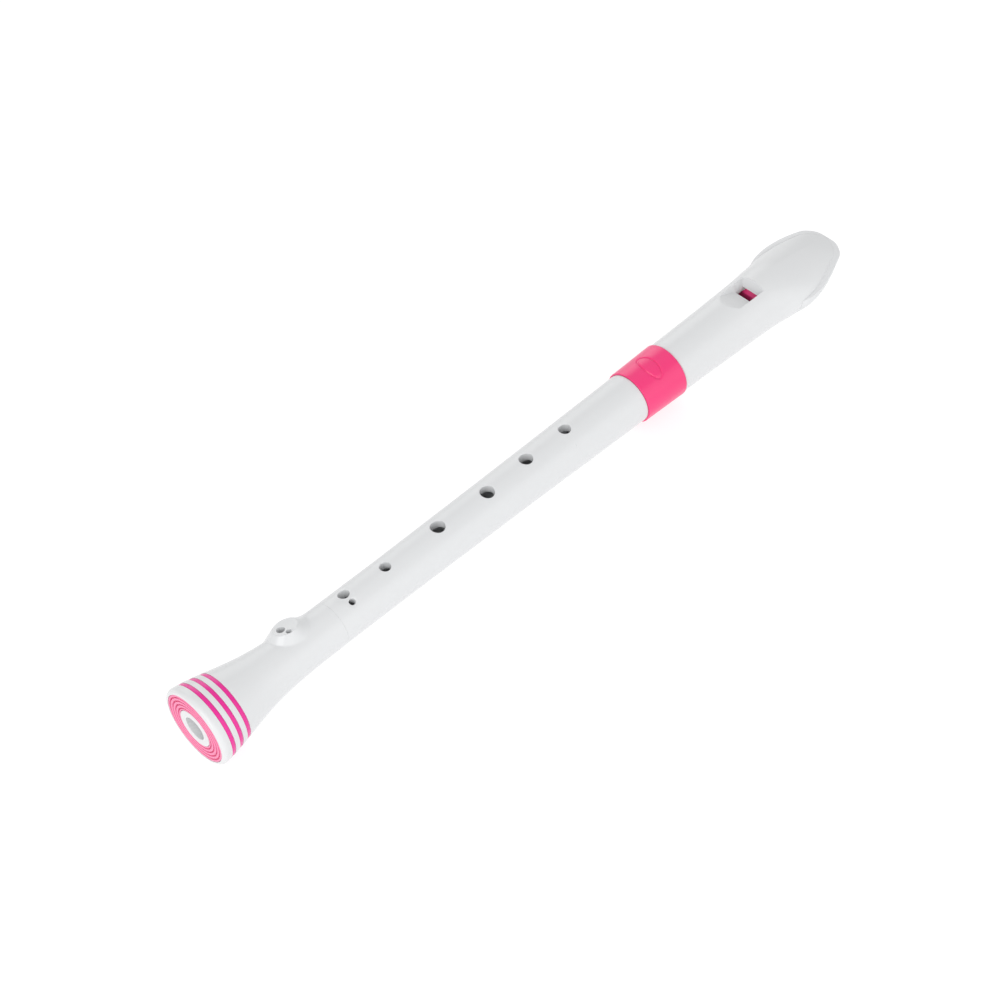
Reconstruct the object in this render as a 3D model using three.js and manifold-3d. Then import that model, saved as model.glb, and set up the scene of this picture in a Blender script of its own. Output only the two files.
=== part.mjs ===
// A soprano recorder of moulded plastic: head with beak and windway, middle joint, and flared foot.
// x runs along the bore from the foot's end face to the mouth, z points to the tone holes, and y to the
// player's right hand. All sizes are in millimetres.
import * as THREE from 'three';
import { mergeVertices } from 'three/addons/utils/BufferGeometryUtils.js';
import { ConvexGeometry } from 'three/addons/geometries/ConvexGeometry.js';
import Module from 'manifold-3d';

const wasm = await Module();
wasm.setup();

// Driving dimensions
const LENGTH = 328.6;
const SIDES = 32; // flats round a full turn
const HOLE_SIDES = 16;
const GAP = 0.3; // clearance between neighbouring pieces
const SEAL_GAP = 0.2;
const AXIS_SINK = 1; // how far a radial cutter reaches past the bore's axis

// Foot joint
const FOOT_SEAM = 63.7; // where the foot meets the middle joint
const NECK_RADIUS = 8.8;
const FLARE = { rise: 7.2, length: 24.2, power: 1.8 };
const RIM = { faceInner: 14.3, faceOuter: 14.6, roundLength: 1.8 };
const FOOT_BORE = 4.7;
const BORE_LIP = 7.6; // outer radius of the foot's inner tube at the end face
const END_CAP = { depth: 2.6, inner: BORE_LIP + GAP, outer: RIM.faceInner - GAP };
const CAP_GROOVE = { depth: 0.4, width: 0.6 };
const END_CAP_GROOVES = [8.6, 10.1, 11.6, 13.1]; // middle radius of each ring groove
const BAND_STARTS = [3.9, 7.9, 12.0];
const BAND = { width: 1.7, depth: 1.3 };
const FLARE_STATIONS = [17, 20, 23, 27, 31, 36, 42, 50, FOOT_SEAM - GAP];
const BELL_HOLLOW = { start: 3, end: 23, wall: 3.3, innerTube: 7.0, stations: [22, 17, 12, 8], ledge: 2 };

// Raised seat of the foot's double hole, leaning to the player's little finger
const SEAT_LEAN = -12;
const SEAT_TOP = { x: 46, side: 0.6, height: 12.1, halfLength: 4.8, halfWidth: 3.9 };
const SEAT_BASE = { x: 46.5, side: 1.5, height: 7.4, halfLength: 9.0, halfWidth: 6.5 };

// Middle joint
const BODY_END = 215.2;
const BODY_RADII = [[FOOT_SEAM, 8.8], [92, 8.8], [116, 9.0], [148, 9.28], [180, 9.7], [BODY_END, 10.22]];
const UPPER_TENON = { end: 240, radius: 8.2, bore: 6.3, sealStart: 231 };
const LOWER_TENON = { end: 51, radius: 7.0, bore: 5.0, sealStart: 55 };
const SEAL = { width: 1.6, depth: 1.1, corners: 6 };
const DISH = { x: 71.2, angle: 3, radius: 22, depth: 0.35 };

// Head joint
const RING = { start: 215.5, end: 235.4, radiusStart: 11.0, radiusEnd: 11.3, inner: 10.2, chamfer: 0.4 };
const SOCKET = { start: RING.start + GAP, depthEnd: UPPER_TENON.end + GAP, wall: RING.inner - GAP };
const HEAD_START = RING.end + GAP;
const HEAD_BORE = 6.9;
const WINDOW = { start: 279.4, end: 283.8, halfWidth: 4, edge: 7.4, slotLow: 3, flare: 0.5 };
const RAMP = { end: 266, halfWidth: 6, topHalfWidth: 6.4, floor: 12.4 };
const RECESS = { end: 285.9, ceiling: 13, overlap: 0.1 };
const WINDWAY = { halfWidth: 4, floor: 6.3, roof: 7.5 };
const WINDWAY_MOUTH = { x: LENGTH + 1, halfWidth: 5.4, floor: 3.7, roof: 5.1 };
const BARREL_STATIONS = [HEAD_START, 246, 262, 274, 284, 288, 292];
const BLOCK_END = 325.2;

// Beak: half width, top, underside and height of the widest edge, all as they change along x
const BEAK_START = 298.4;
const LIP_WALL = 1.8;
const TIP_WALL = 1.2; // lip plate in front of the head at the mouth
const LIP_CROWN = 0.9;
const TIP_ROUND = { length: 4.6, cut: 0.74, start: 4, steps: [2.8, 1.6, 0.7, 0] };
const BARREL_RADII = [[236, 10.8], [246, 10.95], [262, 11.3], [274, 11.6], [286, 12.05]];
const halfWidthAt = curve([
  ...BARREL_RADII, [292, 12.75], [297, 13.8], [302, 14.45], [307, 14.15], [313, 12.75], [320, 10.3], [327, 7.5],
]);
const topAt = curve([...BARREL_RADII, [297, 12.0], [306, 11.0], [318, 8.8], [327, 6.4]]);
const undersideAt = curve([
  ...BARREL_RADII.map(([x, radius]) => [x, -radius]),
  [297, -12.2], [303, -10.7], [310, -6.9], [318, -2.8], [LENGTH, 2.4],
]);
const edgeHeightAt = curve([[236, 0], [290, 0], [297, 0.5], [306, 2.1], [318, 4.6], [LENGTH, 5.5]]);

// How far the lip plate's edge stands out beyond the head
const overhangAt = curve([[BEAK_START - 0.5, 0.05], [302, 1.1], [308, 1.65], [316, 1.6], [LENGTH, TIP_WALL]]);

// Shape of the head's upper half: 2 is an ellipse, and less is more like a roof
const fullnessAt = curve([[290, 2], [302, 1.5], [310, 1.42], [318, 1.5], [327, 1.8]]);

// Tone holes: place along the bore, angle from the top towards -y in degrees, and diameter
const BODY_HOLES = [
  { x: 181.1, angle: 0, diameter: 4.8 },
  { x: 160.9, angle: 0, diameter: 5.4 },
  { x: 140.0, angle: 7, diameter: 5.6 },
  { x: 116.1, angle: 0, diameter: 5.7 },
  { x: 90.3, angle: 0, diameter: 4.3 },
  { x: 71.7, angle: -11.8, diameter: 4.45 },
  { x: 71.7, angle: 20.8, diameter: 2.8 },
  { x: 190.0, angle: 180, diameter: 5.5 },
];
const FOOT_HOLES = [
  { x: 44.4, side: 1.3, diameter: 3.3 },
  { x: 45.6, side: -1.8, diameter: 2.1 },
];
const HOLE_CHAMFER = 0.35;

// Colours
const white = { color: 0xeef0f3, roughness: 0.3, metalness: 0 };
const pink = { color: 0xfb3f86, roughness: 0.4, metalness: 0 };
const palePink = { color: 0xff6fa6, roughness: 0.45, metalness: 0 };
const sealGrey = { color: 0xb9bcc2, roughness: 0.6, metalness: 0 };

// A smooth curve y(x) through a few points
function curve(points) {
  const xs = points.map(([x]) => x);
  const ys = points.map(([, y]) => y);
  const interpolant = new THREE.CubicInterpolant(xs, ys, 1);
  return (x) => interpolant.evaluate(THREE.MathUtils.clamp(x, xs[0], xs.at(-1)))[0];
}

function footRadiusAt(x) {
  return NECK_RADIUS + FLARE.rise * Math.exp(-((x / FLARE.length) ** FLARE.power));
}

function range(start, end, count) {
  return Array.from({ length: count + 1 }, (_, i) => start + ((end - start) * i) / count);
}

// Solid from any closed geometry, turned right side out
function solidOf(geometry) {
  const bare = geometry.clone();
  bare.deleteAttribute('normal');
  bare.deleteAttribute('uv');
  const merged = mergeVertices(bare, 1e-4);
  const corners = merged.attributes.position;
  const triangles = [];
  let volume = 0;
  const [a, b, c] = [new THREE.Vector3(), new THREE.Vector3(), new THREE.Vector3()];
  for (let i = 0; i < merged.index.count; i += 3) {
    const [p, q, r] = [0, 1, 2].map((k) => merged.index.getX(i + k));
    if (p === q || q === r || r === p) continue;
    triangles.push([p, q, r]);
    a.fromBufferAttribute(corners, p);
    b.fromBufferAttribute(corners, q);
    c.fromBufferAttribute(corners, r);
    volume += a.dot(b.cross(c));
  }
  if (volume < 0) triangles.forEach((triangle) => triangle.reverse());
  return new wasm.Manifold(new wasm.Mesh({
    numProp: 3,
    vertProperties: Float32Array.from(corners.array),
    triVerts: Uint32Array.from(triangles.flat()),
  }));
}

function geometryOf(solid) {
  const mesh = solid.getMesh();
  const geometry = new THREE.BufferGeometry();
  geometry.setAttribute('position', new THREE.BufferAttribute(mesh.vertProperties, mesh.numProp));
  geometry.setIndex(new THREE.BufferAttribute(mesh.triVerts, 1));
  geometry.computeVertexNormals();
  return geometry;
}

// Solid of revolution round the bore's axis from [x, radius] points
function turned(outline, sides = SIDES) {
  const points = outline.map(([x, radius]) => new THREE.Vector2(radius, x));
  return solidOf(new THREE.LatheGeometry(points, sides).rotateZ(-Math.PI / 2));
}

function ringSolid(outline, sides = SIDES) {
  return turned([...outline, outline[0]], sides);
}

function rod(start, end, radius, endRadius = radius) {
  return turned([[start, 0], [start, radius], [end, endRadius], [end, 0]]);
}

// Solid with eight corners: two upright rectangles, one at each end of a stretch of x
function taperedBox(...ends) {
  const corners = ends.flatMap(({ x, halfWidth, low, high, highHalfWidth = halfWidth }) => [
    new THREE.Vector3(x, -halfWidth, low),
    new THREE.Vector3(x, halfWidth, low),
    new THREE.Vector3(x, -highHalfWidth, high),
    new THREE.Vector3(x, highHalfWidth, high),
  ]);
  return solidOf(new ConvexGeometry(corners));
}

// Solid through cross-sections, each with a widest edge and a rounded half above and below it
function lofted(stations) {
  const positions = [];
  stations.forEach(({ x, halfWidth, edge, top, underside, fullness = 2 }) => {
    for (let i = 0; i < SIDES; i++) {
      const angle = (2 * Math.PI * i) / SIDES;
      const above = Math.sin(angle) >= 0;
      const bend = above ? 2 / fullness : 1;
      const across = Math.sign(Math.cos(angle)) * Math.abs(Math.cos(angle)) ** bend;
      const up = Math.sign(Math.sin(angle)) * Math.abs(Math.sin(angle)) ** bend;
      positions.push(x, halfWidth * across, edge + (above ? top - edge : edge - underside) * up);
    }
  });
  const indices = [];
  for (let s = 0; s < stations.length - 1; s++) {
    for (let i = 0; i < SIDES; i++) {
      const [here, next] = [s * SIDES + i, s * SIDES + ((i + 1) % SIDES)];
      indices.push(here, next, next + SIDES, here, next + SIDES, here + SIDES);
    }
  }
  const last = (stations.length - 1) * SIDES;
  for (let i = 1; i < SIDES - 1; i++) {
    indices.push(0, i + 1, i, last, last + i, last + i + 1);
  }
  const geometry = new THREE.BufferGeometry();
  geometry.setAttribute('position', new THREE.Float32BufferAttribute(positions, 3));
  geometry.setIndex(indices);
  return solidOf(geometry);
}

// Cutter for a hole drilled towards the axis, with a small chamfer where it leaves the surface
function holeCutter({ x, angle, diameter, side = 0, surface }) {
  const radius = diameter / 2;
  const outline = [
    [-AXIS_SINK, 0],
    [-AXIS_SINK, radius],
    [surface - HOLE_CHAMFER, radius],
    [surface + HOLE_CHAMFER, radius + 2 * HOLE_CHAMFER],
    [surface + 2, radius + 2 * HOLE_CHAMFER],
    [surface + 2, 0],
  ].map(([height, r]) => new THREE.Vector2(r, height));
  const geometry = new THREE.LatheGeometry(outline, HOLE_SIDES).rotateX(Math.PI / 2);
  return solidOf(geometry.translate(x, side, 0).rotateX(THREE.MathUtils.degToRad(angle)));
}

// Seal ring in a tenon's groove
function sealAround({ sealStart: start, radius: tenonRadius }) {
  const socketRadius = tenonRadius + GAP;
  const inner = tenonRadius - SEAL.depth + SEAL_GAP;
  const outer = socketRadius - SEAL_GAP;
  const middle = [start + (SEAL.width + GAP) / 2, (inner + outer) / 2];
  const half = [(SEAL.width - GAP) / 2, (outer - inner) / 2];
  const outline = Array.from({ length: SEAL.corners }, (_, i) => {
    const angle = (2 * Math.PI * (i + 0.5)) / SEAL.corners;
    return [middle[0] + half[0] * Math.cos(angle), middle[1] + half[1] * Math.sin(angle)];
  });
  return ringSolid(outline);
}

// Middle joint: a tapered tube with a tenon at each end
function bodyTube() {
  const groove = (start, radius) => [
    [start, radius],
    [start, radius - SEAL.depth],
    [start + SEAL.width + GAP, radius - SEAL.depth],
    [start + SEAL.width + GAP, radius],
  ];
  let tube = ringSolid([
    [LOWER_TENON.end, LOWER_TENON.bore],
    [LOWER_TENON.end, LOWER_TENON.radius],
    ...groove(LOWER_TENON.sealStart, LOWER_TENON.radius),
    [FOOT_SEAM, LOWER_TENON.radius],
    ...BODY_RADII,
    [BODY_END, UPPER_TENON.radius],
    ...groove(UPPER_TENON.sealStart, UPPER_TENON.radius),
    [UPPER_TENON.end, UPPER_TENON.radius],
    [UPPER_TENON.end, UPPER_TENON.bore],
  ]);
  const radiusAt = curve(BODY_RADII);
  const dishRadius = radiusAt(DISH.x) + DISH.radius - DISH.depth;
  const dish = new THREE.SphereGeometry(DISH.radius, SIDES, SIDES / 2);
  dish.translate(DISH.x, 0, dishRadius).rotateX(THREE.MathUtils.degToRad(DISH.angle));
  tube = tube.subtract(solidOf(dish));
  BODY_HOLES.forEach((hole) => {
    tube = tube.subtract(holeCutter({ ...hole, surface: radiusAt(hole.x) }));
  });
  return tube;
}

// Foot joint: a flared bell round an inner tube, with grooves for the bands and a socket for the tenon
function footShell() {
  const bandGroove = (start) => [
    [start - GAP, footRadiusAt(start)],
    [start - GAP, footRadiusAt(start) - BAND.depth - GAP],
    [start + BAND.width + GAP, footRadiusAt(start) - BAND.depth - GAP],
    [start + BAND.width + GAP, footRadiusAt(start + BAND.width)],
  ];
  const flare = FLARE_STATIONS.map((x) => [x, footRadiusAt(x)]);
  const bellInside = BELL_HOLLOW.stations.map((x) => [x, footRadiusAt(x) - BELL_HOLLOW.wall]);
  let shell = ringSolid([
    [0, RIM.faceInner],
    [0, RIM.faceOuter],
    ...rimRounding(),
    ...BAND_STARTS.flatMap(bandGroove),
    ...flare,
    [FOOT_SEAM - GAP, LOWER_TENON.radius + GAP],
    [LOWER_TENON.end - GAP, LOWER_TENON.radius + GAP],
    [LOWER_TENON.end - GAP, FOOT_BORE],
    [0, FOOT_BORE],
    [0, BORE_LIP],
    [BELL_HOLLOW.start, BORE_LIP],
    [BELL_HOLLOW.end, BELL_HOLLOW.innerTube],
    ...bellInside,
    [BELL_HOLLOW.start, RIM.faceInner - BELL_HOLLOW.ledge],
    [BELL_HOLLOW.start, RIM.faceInner],
  ]);
  shell = shell.add(holeSeat().subtract(rod(0, LOWER_TENON.end, BELL_HOLLOW.innerTube)));
  FOOT_HOLES.forEach((hole) => {
    shell = shell.subtract(holeCutter({ ...hole, angle: SEAT_LEAN, surface: SEAT_TOP.height }));
  });
  return shell;
}

// Oval boss that lifts the double hole to the little finger
function holeSeat() {
  const oval = ({ x, side, height, halfLength, halfWidth }) => Array.from({ length: HOLE_SIDES }, (_, i) => {
    const angle = (2 * Math.PI * i) / HOLE_SIDES;
    return new THREE.Vector3(x + halfLength * Math.cos(angle), side + halfWidth * Math.sin(angle), height);
  });
  const hull = new ConvexGeometry([...oval(SEAT_TOP), ...oval(SEAT_BASE)]);
  return solidOf(hull.rotateX(THREE.MathUtils.degToRad(SEAT_LEAN)));
}

// Quarter round from the end face out to the rim's full radius
function rimRounding() {
  const rise = NECK_RADIUS + FLARE.rise - RIM.faceOuter;
  return [30, 60, 90].map((degrees) => {
    const angle = THREE.MathUtils.degToRad(degrees);
    return [RIM.roundLength * (1 - Math.cos(angle)), RIM.faceOuter + rise * Math.sin(angle)];
  });
}

function footBand(start) {
  const end = start + BAND.width;
  return ringSolid([
    [start, footRadiusAt(start) - BAND.depth],
    [start, footRadiusAt(start)],
    [end, footRadiusAt(end)],
    [end, footRadiusAt(start) - BAND.depth],
  ]);
}

function footEndCap() {
  const grooves = END_CAP_GROOVES.flatMap((radius) => [
    [0, radius - CAP_GROOVE.width / 2],
    [CAP_GROOVE.depth, radius - CAP_GROOVE.width / 4],
    [CAP_GROOVE.depth, radius + CAP_GROOVE.width / 4],
    [0, radius + CAP_GROOVE.width / 2],
  ]);
  return ringSolid([
    [0, END_CAP.inner],
    ...grooves,
    [0, END_CAP.outer],
    [END_CAP.depth, END_CAP.outer],
    [END_CAP.depth, END_CAP.inner],
  ]);
}

function centreRing() {
  return ringSolid([
    [RING.start, RING.inner],
    [RING.start, RING.radiusStart - RING.chamfer],
    [RING.start + RING.chamfer, RING.radiusStart],
    [RING.end - RING.chamfer, RING.radiusEnd],
    [RING.end, RING.radiusEnd - RING.chamfer],
    [RING.end, RING.inner],
  ]);
}

// Cross-section of the head's own part of the beak, widened all round by grow
function beakStation(x, grow = 0) {
  return {
    x,
    halfWidth: halfWidthAt(x) + grow,
    edge: edgeHeightAt(x),
    top: topAt(x) + grow,
    underside: undersideAt(x) + LIP_WALL - grow,
    fullness: fullnessAt(x),
  };
}

// How much of its width the beak keeps at x, so that its corners are rounded into the tip
function tipWidthShare(x, tipX) {
  const reach = THREE.MathUtils.clamp((x - tipX + TIP_ROUND.length) / TIP_ROUND.length, 0, 1);
  return Math.sqrt(1 - TIP_ROUND.cut * reach * reach);
}

function tipStations(tipX) {
  return TIP_ROUND.steps.map((step) => tipX - step);
}

function beakCore(grow = 0) {
  const tipX = LENGTH - TIP_WALL;
  const stations = [...range(BEAK_START - 1, tipX - TIP_ROUND.start, 11), ...tipStations(tipX)].map((x) => {
    const station = beakStation(x, grow);
    station.halfWidth *= tipWidthShare(x, tipX);
    return station;
  });
  stations.at(-1).x += grow;
  return lofted(stations);
}

// Head shell: round barrel with the window and its ramp, running into the beak's upper half
function headShell() {
  const barrel = [...BARREL_STATIONS, BEAK_START - GAP].map((x) => {
    return { ...beakStation(x), underside: undersideAt(x) };
  });
  const sleeve = ringSolid([
    [SOCKET.start, UPPER_TENON.radius + GAP],
    [SOCKET.start, SOCKET.wall],
    [HEAD_START + 2, SOCKET.wall],
    [HEAD_START + 2, UPPER_TENON.radius + GAP],
  ]);
  return lofted(barrel)
    .add(beakCore())
    .subtract(rod(HEAD_START - 1, SOCKET.depthEnd, UPPER_TENON.radius + GAP))
    .add(sleeve)
    .subtract(rod(SOCKET.depthEnd - 1, WINDOW.end + 1, HEAD_BORE))
    .subtract(blockSpace(HEAD_BORE, 0))
    .subtract(windwaySpace())
    .subtract(windowRecess());
}

// Room under the windway's floor, filled by the block
function blockSpace(radius, clearance) {
  const slope = (WINDWAY_MOUTH.floor - WINDWAY.floor) / (WINDWAY_MOUTH.x - WINDOW.end);
  const floorAt = (x) => WINDWAY.floor + slope * (x - WINDOW.end);
  const end = BLOCK_END + GAP - clearance;
  const start = WINDOW.end + clearance;
  const underFloor = taperedBox(
    { x: start, halfWidth: 2 * radius, low: -2 * radius, high: floorAt(start) - clearance },
    { x: end, halfWidth: 2 * radius, low: -2 * radius, high: floorAt(end) - clearance },
  );
  return rod(start - 1, end + 1, radius).intersect(underFloor);
}

function windwaySpace() {
  return taperedBox(
    { x: WINDOW.end - 1, halfWidth: WINDWAY.halfWidth, low: WINDWAY.floor - GAP, high: WINDWAY.roof },
    { ...WINDWAY_MOUTH, low: WINDWAY_MOUTH.floor, high: WINDWAY_MOUTH.roof },
  );
}

// Window over the block's face, the ramp that leads down to its sharp edge, and their flared walls
function windowRecess() {
  const { halfWidth, edge, slotLow, flare } = WINDOW;
  const topHalfWidth = halfWidth + (RECESS.ceiling - edge) * flare;
  const throat = { halfWidth, low: slotLow, high: edge + 1 };
  const slot = taperedBox({ ...throat, x: WINDOW.start }, { ...throat, x: WINDOW.end });
  const lip = { halfWidth, low: edge, high: RECESS.ceiling, highHalfWidth: topHalfWidth };
  const ramp = taperedBox({ ...lip, x: WINDOW.start }, {
    x: RAMP.end,
    halfWidth: RAMP.halfWidth,
    low: RAMP.floor,
    high: RECESS.ceiling,
    highHalfWidth: RAMP.topHalfWidth,
  });
  const scoopCorners = [
    [WINDOW.start - RECESS.overlap, halfWidth, edge],
    [WINDOW.end, halfWidth, edge],
    [WINDOW.start - RECESS.overlap, topHalfWidth, RECESS.ceiling],
    [RECESS.end, topHalfWidth, RECESS.ceiling],
  ];
  const bothSides = [1, -1].flatMap((side) => {
    return scoopCorners.map(([x, y, z]) => new THREE.Vector3(x, side * y, z));
  });
  return slot.add(ramp).add(solidOf(new ConvexGeometry(bothSides)));
}

// Block, whose underside follows the inside of the lip plate
function windwayBlock() {
  const limit = rod(WINDOW.end, BEAK_START, HEAD_BORE).add(beakCore());
  return blockSpace(HEAD_BORE - GAP, GAP).intersect(limit);
}

// Lip plate: a dished cover clipped under the beak, with an edge that stands out all round
function lipPlate() {
  const along = [BEAK_START, 300, 302, ...range(304.5, LENGTH - TIP_ROUND.start, 8), ...tipStations(LENGTH)];
  const stations = along.map((x) => {
    const overhang = overhangAt(x);
    const edge = edgeHeightAt(x);
    const share = tipWidthShare(x, LENGTH);
    return {
      x,
      halfWidth: (halfWidthAt(x - overhang) + overhang) * share,
      edge,
      top: edge + LIP_CROWN * share,
      underside: undersideAt(x),
    };
  });
  return lofted(stations).subtract(beakCore(GAP)).subtract(windwaySpace());
}

function part(name, solid, finish) {
  const mesh = new THREE.Mesh(geometryOf(solid), new THREE.MeshStandardMaterial(finish));
  mesh.name = name;
  return mesh;
}

const head = new THREE.Group();
head.add(part('head_shell', headShell(), white));
head.add(part('windway_block', windwayBlock(), pink));
head.add(part('lip_plate', lipPlate(), white));
head.add(part('centre_ring', centreRing(), pink));

const middle = new THREE.Group();
middle.add(part('body_tube', bodyTube(), white));
middle.add(part('upper_tenon_seal', sealAround(UPPER_TENON), sealGrey));
middle.add(part('lower_tenon_seal', sealAround(LOWER_TENON), sealGrey));

const foot = new THREE.Group();
foot.add(part('foot_shell', footShell(), white));
foot.add(part('foot_end_cap', footEndCap(), palePink));
BAND_STARTS.forEach((start, i) => foot.add(part(`foot_band_${i + 1}`, footBand(start), pink)));

// The recorder lies along x, centred on its length, with the foot's rim resting on z = 0
const recorder = new THREE.Group();
recorder.add(head, middle, foot);
recorder.position.set(-LENGTH / 2, 0, NECK_RADIUS + FLARE.rise);

export default recorder;
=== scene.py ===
import math

import bmesh
import bpy
from mathutils import Matrix, Vector


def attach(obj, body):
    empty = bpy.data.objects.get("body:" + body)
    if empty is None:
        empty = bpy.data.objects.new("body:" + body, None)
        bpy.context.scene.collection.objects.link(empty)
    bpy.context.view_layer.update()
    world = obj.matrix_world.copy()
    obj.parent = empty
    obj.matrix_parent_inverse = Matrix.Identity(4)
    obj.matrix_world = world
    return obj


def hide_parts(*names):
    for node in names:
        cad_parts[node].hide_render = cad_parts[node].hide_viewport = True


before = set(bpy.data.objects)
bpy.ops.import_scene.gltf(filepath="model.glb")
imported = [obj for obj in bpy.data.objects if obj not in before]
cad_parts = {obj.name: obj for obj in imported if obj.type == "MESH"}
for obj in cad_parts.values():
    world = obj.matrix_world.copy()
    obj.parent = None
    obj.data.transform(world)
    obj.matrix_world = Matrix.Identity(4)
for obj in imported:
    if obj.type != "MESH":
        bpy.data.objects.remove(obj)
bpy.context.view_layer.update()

# Pieces are modelled in millimetres on the bore's axis: x from the foot's end face, z to the tone holes
length = 328.6
axisHeight = 16  # of the bore over the floor
perMetre = 1000
toFrame = Matrix.Translation((-length / 2 / perMetre, 0, axisHeight / perMetre)) @ Matrix.Scale(1 / perMetre, 4)
roundSides = 160  # flats round a full turn of a tube
fineSides = 192  # flats round the large visible pieces


# shapes that several pieces share

def curve(points):
    # smooth curve y(x) through a few points
    xs = [x for x, y in points]
    ys = [y for x, y in points]

    def valueAt(x):
        x = min(max(x, xs[0]), xs[-1])
        i = next((k for k in range(1, len(xs)) if x <= xs[k]), len(xs) - 1)
        start, end = xs[i - 1], xs[i]
        before, beforeX = (ys[i - 2], xs[i - 2]) if i > 1 else (ys[i], end)
        after, afterX = (ys[i + 1], xs[i + 1]) if i + 1 < len(xs) else (ys[i - 1], start)
        weightBefore = 0.5 * (end - start) / (start - beforeX)
        weightAfter = 0.5 * (end - start) / (afterX - end)
        p = (x - start) / (end - start)
        return (
            before * (-weightBefore * p**3 + 2 * weightBefore * p**2 - weightBefore * p)
            + ys[i - 1] * ((1 + weightBefore) * p**3 - (1.5 + 2 * weightBefore) * p**2 - (0.5 - weightBefore) * p + 1)
            + ys[i] * (-(1 + weightAfter) * p**3 + (1.5 + weightAfter) * p**2 + 0.5 * p)
            + after * (weightAfter * p**3 - weightAfter * p**2)
        )

    return valueAt


def steps(start, end, count):
    return [start + (end - start) * i / count for i in range(count + 1)]


def smoothMax(a, b, blend):
    h = max(blend - abs(a - b), 0) / blend
    return max(a, b) + h * h * blend / 4


def softened(outline, closed=True):
    # outline points are (x, radius) or (x, radius, rounding); each rounded corner becomes a short arc
    points = []
    for i, point in enumerate(outline):
        corner = Vector(point[:2])
        rounding = point[2] if len(point) > 2 else 0
        if not rounding or (not closed and i in (0, len(outline) - 1)):
            points.append(tuple(corner))
            continue
        before = Vector(outline[i - 1][:2]) - corner
        after = Vector(outline[(i + 1) % len(outline)][:2]) - corner
        start = corner + before.normalized() * min(rounding, before.length * 0.45)
        end = corner + after.normalized() * min(rounding, after.length * 0.45)
        for t in steps(0, 1, 5):
            points.append(tuple((1 - t) ** 2 * start + 2 * t * (1 - t) * corner + t * t * end))
    return points


def spun(outline, sides=roundSides, closed=True):
    # outline turned round the x axis
    bm = bmesh.new()
    corners = [bm.verts.new((x, 0, radius)) for x, radius in softened(outline, closed)]
    pairs = list(zip(corners, corners[1:])) + ([(corners[-1], corners[0])] if closed else [])
    edges = [bm.edges.new(pair) for pair in pairs]
    bmesh.ops.spin(
        bm, geom=corners + edges, cent=(0, 0, 0), axis=(1, 0, 0), angle=math.tau, steps=sides, use_merge=True,
    )
    bmesh.ops.remove_doubles(bm, verts=bm.verts, dist=1e-4)
    bmesh.ops.recalc_face_normals(bm, faces=bm.faces)
    return bm


def rod(start, end, radius, sides=roundSides):
    return spun([(start, 0), (start, radius), (end, radius), (end, 0)], sides, closed=False)


def lofted(sections, sides=roundSides):
    # closed skin through cross-sections; each is a function from an angle to (x, y, z)
    outline = [(0, 0), *((i, 1) for i in range(len(sections))), (len(sections) - 1, 0)]
    bm = spun(outline, sides, closed=False)
    for vert in bm.verts:
        section = sections[round(vert.co.x)]
        angle = math.atan2(vert.co.z, vert.co.y)
        x, y, z, middle = section(angle)
        onAxis = math.hypot(vert.co.y, vert.co.z) < 0.5
        vert.co = (x, 0, middle) if onAxis else (x, y, z)
    bmesh.ops.recalc_face_normals(bm, faces=bm.faces)
    return bm


def ovalSection(x, halfWidth, edge, top, underside, fullness=2.0):
    # widest at edge, with a rounded half above and below it
    def at(angle):
        across, up = math.cos(angle), math.sin(angle)
        if up < 0:
            return x, halfWidth * across, edge + (edge - underside) * up, (top + underside) / 2
        bend = 2 / fullness
        y = halfWidth * math.copysign(abs(across) ** bend, across)
        return x, y, edge + (top - edge) * up**bend, (top + underside) / 2

    return at


def taperedBox(start, end):
    # each end is x, lower half width, upper half width, low and high
    bm = bmesh.new()
    bmesh.ops.create_cube(bm, size=2)
    for vert in bm.verts:
        x, lowHalf, highHalf, low, high = start if vert.co.x < 0 else end
        isHigh = vert.co.z > 0
        vert.co = (x, math.copysign(highHalf if isHigh else lowHalf, vert.co.y), high if isHigh else low)
    return bm


def together(parts):
    whole = bmesh.new()
    for part in parts:
        mesh = bpy.data.meshes.new("part")
        part.to_mesh(mesh)
        part.free()
        whole.from_mesh(mesh)
        bpy.data.meshes.remove(mesh)
    return whole


def asObject(name, bm):
    mesh = bpy.data.meshes.new(name)
    bm.to_mesh(mesh)
    bm.free()
    piece = bpy.data.objects.new(name, mesh)
    bpy.context.scene.collection.objects.link(piece)
    return piece


def carve(piece, tools, operation="DIFFERENCE"):
    # each tool is a bmesh that is cut from the piece, or kept in common with it
    tools = [asObject("tool", tool) for tool in tools]
    for tool in tools:
        cut = piece.modifiers.new("cut", "BOOLEAN")
        cut.operation, cut.solver, cut.object = operation, "EXACT", tool
    shaped = bpy.data.meshes.new_from_object(piece.evaluated_get(bpy.context.evaluated_depsgraph_get()))
    piece.modifiers.clear()
    piece.data = shaped
    for tool in tools:
        bpy.data.objects.remove(tool)


def placed(piece, body, node, finish, sharpAngle=32):
    # into the frame, with smooth faces that break at real edges
    bm = bmesh.new()
    bm.from_mesh(piece.data)
    bmesh.ops.remove_doubles(bm, verts=bm.verts, dist=2e-3)
    bmesh.ops.dissolve_degenerate(bm, edges=bm.edges, dist=1e-3)
    bmesh.ops.transform(bm, matrix=toFrame, verts=bm.verts)
    for face in bm.faces:
        face.smooth = True
    for edge in bm.edges:
        edge.smooth = edge.calc_face_angle(0) < math.radians(sharpAngle)
    bm.to_mesh(piece.data)
    bm.free()
    piece.data.materials.clear()
    piece.data.materials.append(finish)
    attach(piece, body)
    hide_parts(node)
    print(piece.name, "made:", len(piece.data.polygons), "faces")
    return piece


# finishes, made of nodes

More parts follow.
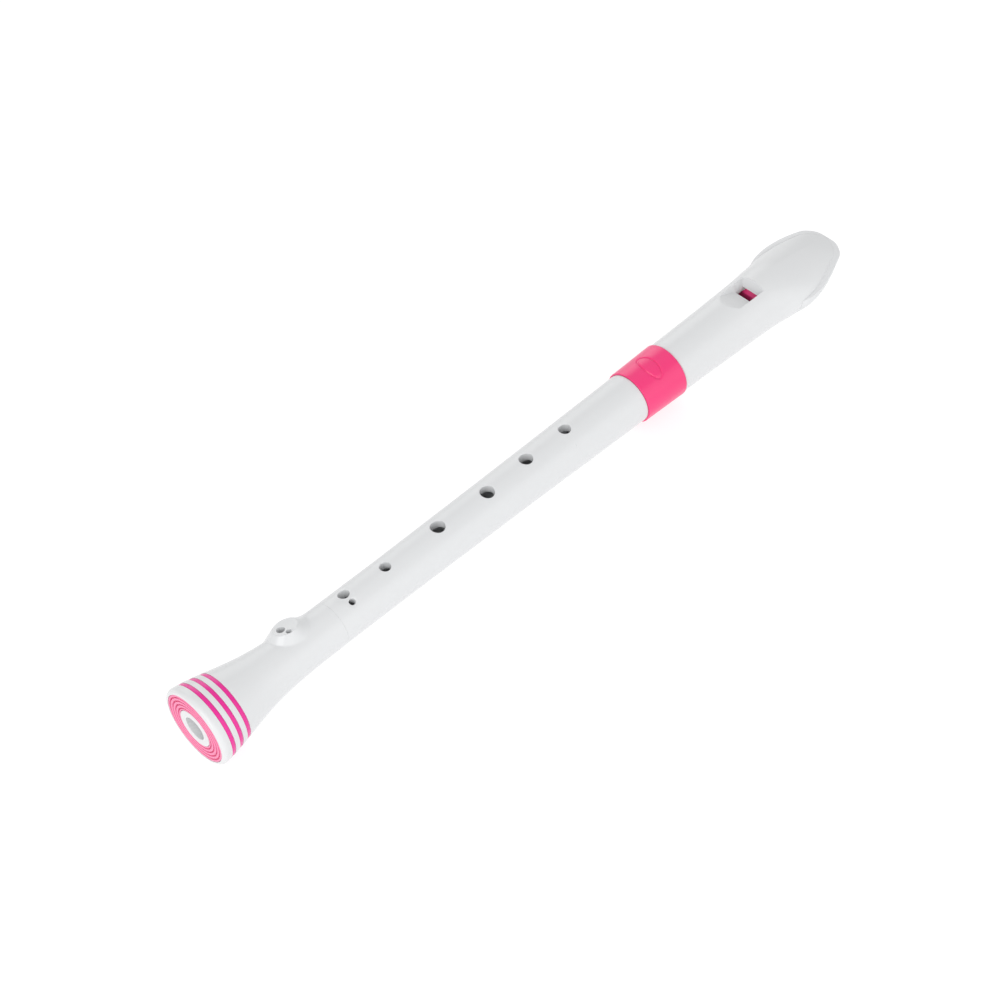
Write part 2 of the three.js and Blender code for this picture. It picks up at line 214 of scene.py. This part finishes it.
class Wire:  # a node's output that can be used in sums
    def __init__(self, finish, socket):
        self.finish, self.socket = finish, socket

    def maths(self, operation, first, second):
        return self.finish.node("ShaderNodeMath", {"operation": operation}, {0: first, 1: second})

    def __add__(self, other):
        return self.maths("ADD", self, other)

    def __mul__(self, other):
        return self.maths("MULTIPLY", self, other)

    __radd__, __rmul__ = __add__, __mul__


class Finish:  # a material and its nodes
    def __init__(self, name):
        self.material = bpy.data.materials.new(name)
        self.material.use_nodes = True
        self.nodes = self.material.node_tree.nodes
        self.shader = self.nodes["Principled BSDF"]
        self.place = self.node("ShaderNodeTexCoord", output="Object")

    def fill(self, node, sockets):
        for name, value in sockets.items():
            if isinstance(value, Wire):
                self.material.node_tree.links.new(value.socket, node.inputs[name])
            else:
                node.inputs[name].default_value = value

    def node(self, kind, settings=None, sockets=None, output=0):
        made = self.nodes.new(kind)
        for name, value in (settings or {}).items():
            if name == "stops":
                made.color_ramp.elements[0].position, made.color_ramp.elements[1].position = value
            else:
                setattr(made, name, value)
        self.fill(made, sockets or {})
        return Wire(self, made.outputs[output])

    def noise(self, scale, detail=3.0, stretch=(1, 1, 1)):
        along = self.node("ShaderNodeMapping", sockets={"Vector": self.place, "Scale": stretch})
        return self.node("ShaderNodeTexNoise", sockets={"Vector": along, "Scale": scale, "Detail": detail})

    def ramp(self, value, start, end):
        return self.node("ShaderNodeValToRGB", {"stops": (start, end)}, {"Fac": value})

    def mixed(self, share, first, second):
        return self.node(
            "ShaderNodeMix", {"data_type": "RGBA"}, {"Factor": share, "A": first, "B": second}, output="Result",
        )


def mouldedPlastic(name, look):
    # moulded plastic: slow drifts of tone and gloss, and a very fine skin left by the mould
    finish = Finish(name)
    drift = finish.noise(look["driftScale"], 2.0)
    sheen = finish.noise(look["sheenScale"], 2.0, stretch=(0.4, 1, 1))
    skin = finish.noise(look["skinScale"], 2.0)
    tone = drift * 0.8 + sheen * 0.2
    colour = finish.mixed(finish.ramp(tone, 0.3, 0.7), look["deep"], look["pale"])
    rough = look["roughness"] + sheen * look["roughnessDrift"]
    bump = finish.node(
        "ShaderNodeBump", sockets={"Height": skin, "Strength": look["bump"], "Distance": 0.0002},
    )
    finish.fill(finish.shader, {
        "Base Color": colour,
        "Roughness": rough,
        "Normal": bump,
        "IOR": 1.5,
        "Specular IOR Level": look["specular"],
    })
    return finish.material


whitePlasticLook = {
    "deep": (0.695, 0.705, 0.715, 1), "pale": (0.71, 0.717, 0.725, 1), "roughness": 0.22, "roughnessDrift": 0.06,
    "specular": 0.5, "driftScale": 14, "sheenScale": 40, "skinScale": 1500, "bump": 0.015,
}
ringPlasticLook = {
    "deep": (0.84, 0.020, 0.165, 1), "pale": (0.89, 0.026, 0.19, 1), "roughness": 0.26, "roughnessDrift": 0.06,
    "specular": 0.7, "driftScale": 30, "sheenScale": 90, "skinScale": 1600, "bump": 0.03,
}
blockPlasticLook = {
    "deep": (0.94, 0.035, 0.22, 1), "pale": (1.0, 0.05, 0.26, 1), "roughness": 0.24, "roughnessDrift": 0.1,
    "specular": 0.5, "driftScale": 60, "sheenScale": 200, "skinScale": 1600, "bump": 0.03,
}
bandPlasticLook = {
    "deep": (0.76, 0.014, 0.28, 1), "pale": (0.83, 0.019, 0.32, 1), "roughness": 0.22, "roughnessDrift": 0.08,
    "specular": 0.5, "driftScale": 30, "sheenScale": 90, "skinScale": 1600, "bump": 0.03,
}
capPlasticLook = {
    "deep": (0.84, 0.20, 0.38, 1), "pale": (0.89, 0.23, 0.42, 1), "roughness": 0.32, "roughnessDrift": 0.1,
    "specular": 0.4, "driftScale": 40, "sheenScale": 120, "skinScale": 2200, "bump": 0.03,
}
sealRubberLook = {
    "deep": (0.36, 0.37, 0.39, 1), "pale": (0.44, 0.45, 0.47, 1), "roughness": 0.48, "roughnessDrift": 0.15,
    "specular": 0.4, "driftScale": 60, "sheenScale": 300, "skinScale": 2600, "bump": 0.25,
}
whitePlastic = mouldedPlastic("whitePlastic", whitePlasticLook)
blockPlastic = mouldedPlastic("blockPlastic", blockPlasticLook)
ringPlastic = mouldedPlastic("ringPlastic", ringPlasticLook)
bandPlastic = mouldedPlastic("bandPlastic", bandPlasticLook)
capPlastic = mouldedPlastic("capPlastic", capPlasticLook)
sealRubber = mouldedPlastic("sealRubber", sealRubberLook)
print("finishes made")


# the foot joint

foot = {
    "seam": 63.68, "neck": 8.8, "rise": 7.2, "flareLength": 24.2, "flarePower": 1.8, "bore": 4.7, "boreLip": 7.6,
    "faceInner": 14.3, "faceOuter": 14.6, "rimRound": 1.8, "socketEnd": 50.7, "socket": 7.3, "capDepth": 2.9,
    "bandStarts": (3.9, 7.9, 12.0), "bandWidth": 1.7, "bandDepth": 0.75, "bandSunk": 0.16, "bandGap": 0.06,
}
holeSeat = {
    "lean": -12, "x": 46.0, "side": 0.6, "height": 12.08, "halfLength": 4.8, "halfWidth": 3.9,
    "lengthGrowth": 4.2, "widthGrowth": 2.6, "drop": 4.7, "dish": 0.5, "frontBlend": 0.3, "backBlend": 2.4,
    "driftAlong": 0.5, "driftAcross": 0.9, "start": 34, "end": 61, "lowest": 2, "crest": 0.12,
    "blendStart": 45, "blendLength": 7,
}
footHoles = (
    {"x": 44.4, "side": 1.3, "width": 3.15, "round": 0.35},
    {"x": 45.6, "side": -1.8, "width": 2.1, "round": 0.25},
)


holeLipSlope = 14  # degrees at which a hole's lip meets the surface


def footRadiusAt(x):
    return foot["neck"] + foot["rise"] * math.exp(-((x / foot["flareLength"]) ** foot["flarePower"]))


def rimOutline():
    rise = foot["neck"] + foot["rise"] - foot["faceOuter"]
    turns = [math.radians(degrees) for degrees in range(0, 91, 9)]
    return [
        (foot["rimRound"] * (1 - math.cos(turn)), foot["faceOuter"] + rise * math.sin(turn)) for turn in turns
    ]


def bandGroove(start):
    end = start + foot["bandWidth"]
    floor = footRadiusAt(start) - foot["bandDepth"]
    gap = foot["bandGap"]
    return [
        (start - gap, footRadiusAt(start - gap), 0.14),
        (start - gap, floor),
        (end + gap, floor),
        (end + gap, footRadiusAt(end + gap), 0.14),
    ]


def footOutline():
    bandEnd = foot["bandStarts"][-1] + foot["bandWidth"]
    lands = []
    for start in foot["bandStarts"]:
        lands += bandGroove(start)
    flare = [(x, footRadiusAt(x)) for x in steps(bandEnd + 1, 35, 20) + steps(35.4, 60, 62) + steps(61, 63.4, 3)]
    return [
        (0, foot["faceInner"], 0.08),
        *rimOutline(),
        *lands,
        *flare,
        (foot["seam"], footRadiusAt(63), 0.05),
        (foot["seam"], foot["socket"], 0.3),
        (foot["socketEnd"], foot["socket"]),
        (foot["socketEnd"], foot["bore"]),
        (0, foot["bore"], 0.35),
        (0, foot["boreLip"], 0.2),
        (foot["capDepth"], foot["boreLip"]),
        (foot["capDepth"], foot["faceInner"]),
    ]


def seatHeightAt(x, side):
    # height of the hole seat over the bore's axis: a shallow dish on top, then straight flanks
    low, high = 0.0, 4.0
    along, across = x - holeSeat["x"], side - holeSeat["side"]
    inner = math.hypot(along / holeSeat["halfLength"], across / holeSeat["halfWidth"])
    if inner < 1:
        return holeSeat["height"] - holeSeat["dish"] * (1 - inner**2) ** 1.5
    for _ in range(18):
        t = (low + high) / 2
        reach = math.hypot(
            (along - holeSeat["driftAlong"] * t) / (holeSeat["halfLength"] + holeSeat["lengthGrowth"] * t),
            (across - holeSeat["driftAcross"] * t) / (holeSeat["halfWidth"] + holeSeat["widthGrowth"] * t),
        )
        low, high = (t, high) if reach > 1 else (low, t)
    crest = holeSeat["crest"]
    return holeSeat["height"] - holeSeat["drop"] * (math.sqrt(t * t + crest * crest) - crest)


def raiseHoleSeat(bm):
    lean = Matrix.Rotation(math.radians(holeSeat["lean"]), 3, "X")
    for vert in bm.verts:
        local = lean.inverted() @ vert.co
        radius = math.hypot(local.y, local.z)
        isOuter = abs(radius - footRadiusAt(local.x)) < 0.01
        if not (holeSeat["start"] < local.x < holeSeat["end"] and local.z > holeSeat["lowest"] and isOuter):
            continue
        seat = seatHeightAt(local.x, local.y)
        share = min(max((local.x - holeSeat["blendStart"]) / holeSeat["blendLength"], 0), 1)
        blend = holeSeat["frontBlend"] + (holeSeat["backBlend"] - holeSeat["frontBlend"]) * share
        local.z = smoothMax(local.z, seat, blend)
        vert.co = lean @ local


def holeCutter(hole, angle, surface, curveRadius=None):
    # drill with a rounded lip that follows the surface round the hole
    radius, lip = hole["width"] / 2, hole["round"]
    slope = math.radians(holeLipSlope)
    outline = [(-1, 0), (-1, radius)]
    for turn in [math.radians(90 * i / 6) for i in range(7)]:
        turn = min(turn, math.pi / 2 - slope)
        outline.append((surface - lip + lip * math.sin(turn), radius + lip * (1 - math.cos(turn))))
    height, reach = outline[-1]
    outline[-1:] = [(height, reach), (height + 0.3, reach + 0.3 / math.tan(slope))]
    outline += [(surface + 2.5, outline[-1][1]), (surface + 2.5, 0)]
    bm = spun(outline, 64, closed=False)
    bmesh.ops.rotate(bm, verts=bm.verts, cent=(0, 0, 0), matrix=Matrix.Rotation(-math.pi / 2, 3, "Y"))
    side = hole.get("side", 0)
    for vert in bm.verts:
        if curveRadius:
            sideways = min(abs(vert.co.y), 0.95 * curveRadius)
            vert.co.z -= curveRadius - math.sqrt(curveRadius**2 - sideways**2)
    bmesh.ops.translate(bm, verts=bm.verts, vec=(hole["x"], side, 0))
    bmesh.ops.rotate(bm, verts=bm.verts, cent=(0, 0, 0), matrix=Matrix.Rotation(math.radians(angle), 3, "X"))
    bmesh.ops.recalc_face_normals(bm, faces=bm.faces)
    return bm


def makeFoot():
    bm = spun(footOutline(), fineSides)
    raiseHoleSeat(bm)
    piece = asObject("footBell", bm)
    carve(piece, [holeCutter(hole, holeSeat["lean"], holeSeat["height"] - 0.3) for hole in footHoles])
    return placed(piece, "foot", "foot_shell", whitePlastic)


def makeBand(number, start):
    end, sunk = start + foot["bandWidth"], foot["bandSunk"]
    bm = spun([
        (start, footRadiusAt(start) - foot["bandDepth"] + 0.05),
        (start, footRadiusAt(start) - sunk, 0.2),
        ((start + end) / 2, footRadiusAt((start + end) / 2) - sunk + 0.06, 0.5),
        (end, footRadiusAt(end) - sunk, 0.2),
        (end, footRadiusAt(start) - foot["bandDepth"] + 0.05),
    ], fineSides)
    piece = asObject(f"footBand{number}", bm)
    return placed(piece, "foot", f"foot_band_{number}", bandPlastic)


endCap = {
    "inner": 7.72, "outer": 14.2, "face": 0.06, "depth": 2.6, "grooves": (8.6, 10.1, 11.6, 13.1),
    "grooveDepth": 1.0,
}


def makeEndCap():
    grooves = []
    for radius in endCap["grooves"]:
        grooves += [
            (endCap["face"], radius - 0.30, 0.10), (endCap["grooveDepth"], radius - 0.16, 0.1),
            (endCap["grooveDepth"], radius + 0.16, 0.1), (endCap["face"], radius + 0.30, 0.10),
        ]
    bm = spun([
        (endCap["face"], endCap["inner"], 0.25),
        *grooves,
        (endCap["face"], endCap["outer"], 0.3),
        (endCap["depth"], endCap["outer"]),
        (endCap["depth"], endCap["inner"]),
    ], fineSides)
    return placed(asObject("footEndCap", bm), "foot", "foot_end_cap", capPlastic)


# the middle joint

middle = {
    "foot": 63.7, "head": 215.2, "lowerTenon": 7.0, "lowerEnd": 51.0, "lowerBore": 5.0, "lowerSeal": 55.0,
    "upperTenon": 8.2, "upperEnd": 240.0, "upperBore": 6.3, "upperSeal": 231.0, "sealWidth": 1.9, "sealDepth": 1.1,
    "sealHalfWidth": 0.65,
}
middleRadiusAt = curve([(63.7, 8.8), (92, 8.8), (116, 9.0), (148, 9.28), (180, 9.7), (215.2, 10.22)])
fingerDish = {"x": 71.2, "angle": 3, "radius": 22, "depth": 0.35, "blend": 0.12, "reach": 8, "lowest": 7.2}
toneHoles = (
    {"x": 181.1, "angle": 0, "width": 4.8},
    {"x": 160.9, "angle": 0, "width": 5.4},
    {"x": 140.0, "angle": 7, "width": 5.6},
    {"x": 116.1, "angle": 0, "width": 5.7},
    {"x": 90.3, "angle": 0, "width": 4.3},
    {"x": 71.7, "angle": -11.8, "width": 4.45, "sunk": 0.28},
    {"x": 71.7, "angle": 20.8, "width": 2.5, "sunk": 0.2},
    {"x": 190.0, "angle": 180, "width": 5.5},
)
gateMark = {"x": 179.3, "angle": 47, "radius": 0.85, "depth": 0.07}


def sealGroove(start, radius):
    end, floor = start + middle["sealWidth"], radius - middle["sealDepth"]
    return [(start, radius, 0.12), (start, floor), (end, floor), (end, radius, 0.12)]


def middleOutline():
    return [
        (middle["lowerEnd"], middle["lowerBore"], 0.2),
        (middle["lowerEnd"], middle["lowerTenon"], 0.4),
        *sealGroove(middle["lowerSeal"], middle["lowerTenon"]),
        (middle["foot"], middle["lowerTenon"]),
        (middle["foot"], middleRadiusAt(middle["foot"]), 0.05),
        *[(x, middleRadiusAt(x)) for x in steps(64.4, 79.4, 38) + steps(80, 214.4, 168)],
        (middle["head"], middleRadiusAt(middle["head"]), 0.08),
        (middle["head"], middle["upperTenon"]),
        *sealGroove(middle["upperSeal"], middle["upperTenon"]),
        (middle["upperEnd"], middle["upperTenon"], 0.4),
        (middle["upperEnd"], middle["upperBore"], 0.2),
    ]


def pressFingerDish(bm):
    turn = Matrix.Rotation(math.radians(fingerDish["angle"]), 3, "X")
    low = middleRadiusAt(fingerDish["x"]) - fingerDish["depth"]
    for vert in bm.verts:
        local = turn.inverted() @ vert.co
        distance = math.hypot(local.x - fingerDish["x"], local.y)
        if distance > fingerDish["reach"] or local.z < fingerDish["lowest"]:
            continue
        ball = low + fingerDish["radius"] - math.sqrt(fingerDish["radius"] ** 2 - distance**2)
        local.z = -smoothMax(-local.z, -ball, fingerDish["blend"])
        vert.co = turn @ local


def makeMiddle():
    bm = spun(middleOutline(), fineSides)
    pressFingerDish(bm)
    piece = asObject("middleJoint", bm)
    cutters = []
    for hole in toneHoles:
        radius = middleRadiusAt(hole["x"])
        drill = {"x": hole["x"], "width": hole["width"], "round": 0.35}
        cutters.append(holeCutter(drill, hole["angle"], radius - hole.get("sunk", 0), radius))
    small = cutters.pop(6)
    mark = rod(0, gateMark["depth"] + 2, gateMark["radius"], 48)
    bmesh.ops.rotate(mark, verts=mark.verts, cent=(0, 0, 0), matrix=Matrix.Rotation(-math.pi / 2, 3, "Y"))
    bmesh.ops.translate(
        mark, verts=mark.verts, vec=(gateMark["x"], 0, middleRadiusAt(gateMark["x"]) - gateMark["depth"]),
    )
    bmesh.ops.rotate(
        mark, verts=mark.verts, cent=(0, 0, 0), matrix=Matrix.Rotation(math.radians(gateMark["angle"]), 3, "X"),
    )
    carve(piece, [together(cutters + [mark]), small])
    return placed(piece, "middle", "body_tube", whitePlastic)


def makeSeal(name, start, tenon, body, node):
    inner, outer = tenon - middle["sealDepth"] + 0.2, tenon + 0.1
    centreX, centreRadius = start + middle["sealWidth"] / 2, (inner + outer) / 2
    turns = [math.tau * i / 20 for i in range(20)]
    profile = [
        (centreX + middle["sealHalfWidth"] * math.cos(turn), centreRadius + (outer - inner) / 2 * math.sin(turn))
        for turn in turns
    ]
    return placed(asObject(name, spun(profile)), body, node, sealRubber)


# the head joint

ring = {
    "start": 215.26, "end": 235.55, "startRadius": 10.85, "endRadius": 11.3, "inner": 10.2, "round": 0.4,
    "ovalX": 225.4, "ovalAngle": 7.5, "ovalHalfLength": 6.2, "ovalHalfWidth": 2.9, "grooveWidth": 0.5,
    "grooveDepth": 0.32, "crown": 0.14,
}
head = {
    "start": 235.7, "socketStart": 215.8, "socketEnd": 240.3, "socket": 8.5, "socketWall": 9.9, "bore": 6.9,
    "plateStart": 298.3, "plateWall": 1.8, "tipWall": 1.2, "crown": 0.9, "seam": 0.02,
    "tipLength": 4.6, "tipCut": 0.74,
}
window = {
    "start": 279.4, "end": 283.8, "halfWidth": 4, "edge": 7.4, "low": 3, "flare": 0.5, "ceiling": 13,
    "rampEnd": 266, "rampHalf": 6, "rampTopHalf": 6.4, "rampFloor": 12.4, "scoopEnd": 285.9,
}
windway = {
    "start": 282.8, "end": 329.6, "half": 4, "mouthHalf": 5.4, "floor": 6.3, "mouthFloor": 3.7,
    "roof": 7.5, "mouthRoof": 5.1, "blockEnd": 325.2, "blockChamfer": 1.8,
    "blockGap": 0.15, "blockRelief": 0.3,
}
barrelRadii = [(236, 10.8), (246, 10.95), (262, 11.3), (274, 11.6), (286, 12.05)]
headHalfWidthAt = curve(
    barrelRadii + [(292, 12.75), (297, 13.8), (302, 14.45), (307, 14.15), (313, 12.75), (320, 10.3), (327, 7.5)]
)
headTopAt = curve(barrelRadii + [(297, 12.0), (306, 11.0), (318, 8.8), (327, 6.4)])
undersideAt = curve(
    [(x, -radius) for x, radius in barrelRadii]
    + [(297, -12.2), (303, -10.7), (310, -6.9), (318, -2.8), (length, 2.4)]
)
edgeHeightAt = curve([(236, 0), (290, 0), (297, 0.5), (306, 2.1), (318, 4.6), (length, 5.5)])
overhangAt = curve([(297.9, 0.05), (302, 1.1), (308, 1.65), (316, 1.6), (length, 1.2)])
fullnessAt = curve([(290, 2), (302, 1.5), (310, 1.42), (318, 1.5), (327, 1.8)])


def tipShare(x, tipX):
    reach = min(max((x - tipX + head["tipLength"]) / head["tipLength"], 0), 1)
    return math.sqrt(1 - head["tipCut"] * reach * reach)


def beakSection(x, grow=0.0, tipX=length - head["tipWall"], shift=0.0):
    half = headHalfWidthAt(x) + grow
    return ovalSection(
        x + shift, half * tipShare(x, tipX), edgeHeightAt(x), headTopAt(x) + grow,
        undersideAt(x) + head["plateWall"] - grow, fullnessAt(x),
    )


def beakSteps(start, tipX):
    return steps(start, tipX - 6, 26) + steps(tipX - 5.5, tipX - 1, 9) + steps(tipX - 0.75, tipX, 3)


def beakCore(grow):
    tipX = length - head["tipWall"]
    stations = beakSteps(head["plateStart"] - 1.5, tipX)
    sections = [beakSection(x, grow) for x in stations]
    sections.append(beakSection(tipX, grow, shift=grow + 0.01))
    return lofted(sections)


def headSections():
    sections = []
    for x, share in ((head["start"], 0.975), (head["start"] + 0.1, 0.988), (head["start"] + 0.3, 1)):
        radius = headHalfWidthAt(x) * share
        sections.append(ovalSection(x, radius, 0, radius, -radius))
    for x in steps(head["start"] + 1, head["plateStart"], 74):
        sections.append(ovalSection(
            x, headHalfWidthAt(x), edgeHeightAt(x), headTopAt(x), undersideAt(x), fullnessAt(x),
        ))
    sections += [beakSection(x) for x in beakSteps(head["plateStart"], length - head["tipWall"])]
    return sections


def windwayTool():
    return taperedBox(
        (windway["start"], windway["half"], windway["half"], windway["floor"] - 0.3, windway["roof"]),
        (windway["end"], windway["mouthHalf"], windway["mouthHalf"], windway["mouthFloor"], windway["mouthRoof"]),
    )


def windowTools():
    topHalf = window["halfWidth"] + (window["ceiling"] - window["edge"]) * window["flare"]
    half = window["halfWidth"]
    throat = (half, half, window["low"], window["edge"] + 1)
    return [
        taperedBox((window["start"], *throat), (window["end"], *throat)),
        taperedBox(
            (window["rampEnd"], window["rampHalf"], window["rampTopHalf"], window["rampFloor"], window["ceiling"]),
            (window["start"], half, topHalf, window["edge"], window["ceiling"]),
        ),
        scoopTool(half, topHalf),
    ]


def scoopTool(half, topHalf):
    # upstream wall of the recess, leaning back from the window's edge
    bm = bmesh.new()
    bmesh.ops.create_cube(bm, size=2)
    for vert in bm.verts:
        isHigh = vert.co.z > 0
        farX = window["scoopEnd"] if isHigh else window["end"]
        x = window["start"] - 0.1 if vert.co.x < 0 else farX
        y = math.copysign(topHalf if isHigh else half, vert.co.y)
        vert.co = (x, y, window["ceiling"] if isHigh else window["edge"])
    return bm


def blockRoom(radius, clearance):
    # space under the windway's floor
    slope = (windway["mouthFloor"] - windway["floor"]) / (length + 1 - window["end"])
    start, end = window["end"] + clearance, windway["blockEnd"] + windway["blockRelief"] - clearance
    bm = rod(start, end, radius)
    middleHeight = windway["floor"] + slope * (start - window["end"]) - clearance
    cut = bmesh.ops.bisect_plane(
        bm, geom=bm.verts[:] + bm.edges[:] + bm.faces[:], plane_co=(start, 0, middleHeight),
        plane_no=(-slope, 0, 1), clear_outer=True,
    )
    bmesh.ops.holes_fill(bm, edges=[e for e in cut["geom_cut"] if isinstance(e, bmesh.types.BMEdge)])
    return bm


def makeHead():
    piece = asObject("headJoint", lofted(headSections(), fineSides))
    sleeve = spun([
        (head["socketStart"], 0), (head["socketStart"], head["socketWall"], 0.3),
        (head["start"] + 2, head["socketWall"]), (head["start"] + 2, 0),
    ], fineSides, closed=False)
    socket = spun([
        (head["socketStart"] - 1, 0), (head["socketStart"] - 1, head["socket"] + 1.3),
        (head["socketStart"] + 0.3, head["socket"]), (head["socketEnd"], head["socket"]), (head["socketEnd"], 0),
    ], fineSides, closed=False)
    carve(piece, [sleeve], "UNION")
    carve(piece, [
        socket,
        rod(head["socketEnd"] - 1, window["end"] + 1, head["bore"], 128),
        blockRoom(head["bore"], 0),
        windwayTool(),
        *windowTools(),
    ])
    return placed(piece, "head", "head_shell", whitePlastic, sharpAngle=28)


def makeBlock():
    gap = windway["blockGap"]
    bm = blockRoom(head["bore"] - gap, gap)
    start = window["end"] + gap
    chamfer = windway["blockChamfer"]
    cut = bmesh.ops.bisect_plane(
        bm, geom=bm.verts[:] + bm.edges[:] + bm.faces[:], plane_co=(start + chamfer, 0, windway["floor"] - gap),
        plane_no=(-1, 0, 1), clear_outer=True,
    )
    bmesh.ops.holes_fill(bm, edges=[e for e in cut["geom_cut"] if isinstance(e, bmesh.types.BMEdge)])
    piece = asObject("windwayBlock", bm)
    limit = lofted([
        *[ovalSection(x, 7.5, 0, 7.5, -7.5) for x in steps(window["end"] - 1, head["plateStart"] - 1.5, 4)],
        *[beakSection(x, -0.12) for x in beakSteps(head["plateStart"] - 1.4, length - head["tipWall"])],
    ])
    carve(piece, [limit], "INTERSECT")
    return placed(piece, "head", "windway_block", blockPlastic)


def plateSections():
    sections = []
    for x in beakSteps(head["plateStart"] + 0.04, length):
        overhang, edge, share = overhangAt(x), edgeHeightAt(x), tipShare(x, length)
        half = (headHalfWidthAt(x - overhang) + overhang) * share
        near = min(max((x - length + 0.8) / 0.8, 0), 1)
        shrink = 0.35 * (1 - math.sqrt(1 - near * near * 0.99))
        sections.append(ovalSection(
            x, half - shrink, edge, edge + head["crown"] * share - shrink * 0.6, undersideAt(x) + shrink,
        ))
    return sections


def makeLipPlate():
    piece = asObject("lipPlate", lofted(plateSections(), fineSides))
    carve(piece, [beakCore(head["seam"]), windwayTool()])
    return placed(piece, "lip", "lip_plate", whitePlastic, sharpAngle=28)


def sinkOval(bm):
    # plain raised oval inside a fine groove, near the line of the tone holes
    for vert in bm.verts:
        radius = math.hypot(vert.co.y, vert.co.z)
        if radius < ring["startRadius"] - 0.1:
            continue
        angle = math.degrees(math.atan2(-vert.co.y, vert.co.z)) - ring["ovalAngle"]
        along = math.radians(angle) * radius / ring["ovalHalfLength"]
        across = (vert.co.x - ring["ovalX"]) / ring["ovalHalfWidth"]
        reach = math.hypot(along, across)
        if reach > 1.4:
            continue
        distance = (reach - 1) * ring["ovalHalfWidth"]
        groove = math.exp(-((distance / (ring["grooveWidth"] / 2)) ** 2))
        crown = ring["crown"] * max(1 - reach, 0) ** 0.5
        scale = (radius - ring["grooveDepth"] * groove + crown) / radius
        vert.co.y *= scale
        vert.co.z *= scale


def makeRing():
    start, end = ring["start"], ring["end"]
    slope = (ring["endRadius"] - ring["startRadius"]) / (end - start)
    outer = [(x, ring["startRadius"] + slope * (x - start)) for x in steps(start + 0.6, end - 0.6, 110)]
    bm = spun([
        (start, ring["inner"], 0.1),
        (start, ring["startRadius"], ring["round"]),
        *outer,
        (end, ring["endRadius"], ring["round"]),
        (end, ring["inner"], 0.1),
    ], 384)
    sinkOval(bm)
    return placed(asObject("centreRing", bm), "head", "centre_ring", ringPlastic)


makeFoot()
for number, start in enumerate(foot["bandStarts"], 1):
    makeBand(number, start)
makeEndCap()
print("foot joint done")
makeMiddle()
makeSeal("upperSeal", middle["upperSeal"], middle["upperTenon"], "upper_seal", "upper_tenon_seal")
makeSeal("lowerSeal", middle["lowerSeal"], middle["lowerTenon"], "lower_seal", "lower_tenon_seal")
print("middle joint done")
makeHead()
makeBlock()
makeLipPlate()
makeRing()
print("head joint done")


# floor, lights and camera

studio = {
    "floorSize": 8, "floorTilt": -0.78, "floorGap": 0.0003, "floorGlow": 0.78, "world": 0.7,
    "camera": (-0.4294, -0.4861, 0.7266), "lens": 93.0,
    "right": (0.7175, -0.6940, -0.0588), "up": (0.5473, 0.5096, 0.6639), "view": (0.4308, 0.5085, -0.7455),
    "lights": (
        {"name": "frontBox", "at": (-1.1, -0.5, 0.75), "size": 1.1, "power": 8.5},
        {"name": "rightBox", "at": (0.3, -1.4, 0.4), "size": 1.6, "power": 5},
        {"name": "leftBox", "at": (0.55, 1.15, 0.55), "size": 0.9, "power": 2.8},
        {"name": "topBox", "at": (0.1, 0.2, 2.2), "size": 1.8, "power": 1.5},
    ),
}


def makeFloor():
    bm = bmesh.new()
    bmesh.ops.create_grid(bm, x_segments=2, y_segments=2, size=studio["floorSize"] / 2)
    floor = asObject("floor", bm)
    floor.location = (-length / 2 / perMetre, 0, -studio["floorGap"])
    floor.rotation_euler = (0, math.radians(studio["floorTilt"]), 0)
    finish = Finish("studioFloor")
    grain = finish.noise(40, 3.0)
    finish.fill(finish.shader, {
        "Base Color": finish.mixed(grain, (0.27, 0.27, 0.275, 1), (0.29, 0.29, 0.29, 1)),
        "Roughness": 0.8,
        "Specular IOR Level": 0.1,
        "Emission Color": (1, 1, 1, 1),
        "Emission Strength": studio["floorGlow"],
    })
    floor.data.materials.append(finish.material)


def makeLights():
    scene = bpy.context.scene
    scene.world = bpy.data.worlds.new("studioWorld")
    scene.world.use_nodes = True
    scene.world.node_tree.nodes["Background"].inputs["Color"].default_value = (1, 1, 1, 1)
    scene.world.node_tree.nodes["Background"].inputs["Strength"].default_value = studio["world"]
    for box in studio["lights"]:
        light = bpy.data.lights.new(box["name"], "AREA")
        light.shape, light.size, light.energy = "SQUARE", box["size"], box["power"]
        holder = bpy.data.objects.new(box["name"], light)
        holder.location = box["at"]
        holder.rotation_euler = (-Vector(box["at"])).to_track_quat("-Z", "Y").to_euler()
        scene.collection.objects.link(holder)


def makeCamera():
    lens = bpy.data.cameras.new("camera")
    lens.lens, lens.sensor_width = studio["lens"], 36
    holder = bpy.data.objects.new("camera", lens)
    turn = Matrix((studio["right"], studio["up"], -Vector(studio["view"]))).transposed().to_4x4()
    holder.matrix_world = Matrix.Translation(studio["camera"]) @ turn
    bpy.context.scene.collection.objects.link(holder)
    bpy.context.scene.camera = holder


makeFloor()
makeLights()
makeCamera()
bpy.context.scene.view_settings.view_transform = "Standard"
print("studio done")
